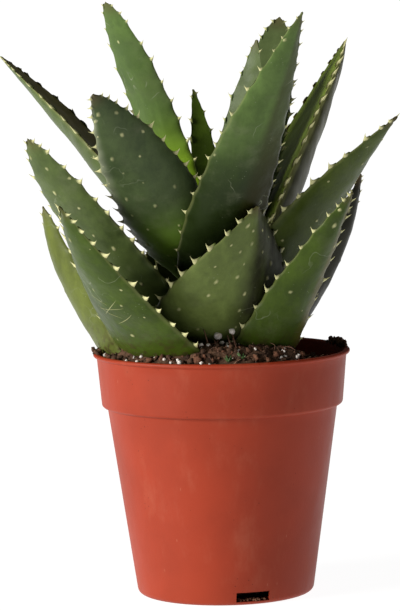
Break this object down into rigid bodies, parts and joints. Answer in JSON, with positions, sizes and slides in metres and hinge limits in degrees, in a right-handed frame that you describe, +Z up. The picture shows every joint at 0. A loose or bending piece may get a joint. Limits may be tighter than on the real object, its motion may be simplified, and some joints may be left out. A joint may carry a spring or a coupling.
{
  "type": "potted aloe plant",
  "caption": "Rosette of thick, tapering, toothed succulent leaves on a short stem, growing from peat soil in a round stepped-rim nursery pot with drain slots.",
  "frame": {"origin": "on the ground, at the centre of the pot's flat base", "axes": "+Z up through the pot and plant; the plant's front faces -Y; +X to the viewer's right"},
  "size_m": [0.1839, 0.1884, 0.2772],
  "materials": {
    "terracotta_plastic": "satin moulded plastic with fine dust and scuffs",
    "peat": "loose fibrous peat with white perlite",
    "stem_green": "dull, fibrous",
    "leaf_green": "waxy satin skin with pale raised spots and cream teeth",
    "leaf_fresh_green": "waxy satin skin, yellow-green"
  },
  "bodies": {
    "root": {"pot": "terracotta_plastic", "soil": "peat", "stem": "stem_green", "leaf_top_left": "leaf_fresh_green", "leaf_top_far_left": "leaf_green", "leaf_upper_front_left": "leaf_green", "leaf_middle_left": "leaf_green", "leaf_lower_front_left": "leaf_green", "leaf_lower_left": "leaf_fresh_green", "leaf_lower_front": "leaf_green", "leaf_top_front": "leaf_green", "leaf_heart": "leaf_fresh_green", "leaf_top_back": "leaf_green", "leaf_top_back_right": "leaf_green", "leaf_upper_right": "leaf_green", "leaf_middle_right": "leaf_green", "leaf_lower_front_right": "leaf_green", "leaf_lower_right": "leaf_green", "leaf_upper_back_left": "leaf_green", "leaf_lower_back": "leaf_green", "leaf_lower_back_left": "leaf_green", "leaf_lower_back_right": "leaf_green", "leaf_middle_back": "leaf_green", "leaf_middle_back_right": "leaf_green", "leaf_middle_back_left": "leaf_green"}
  },
  "joints": []
}
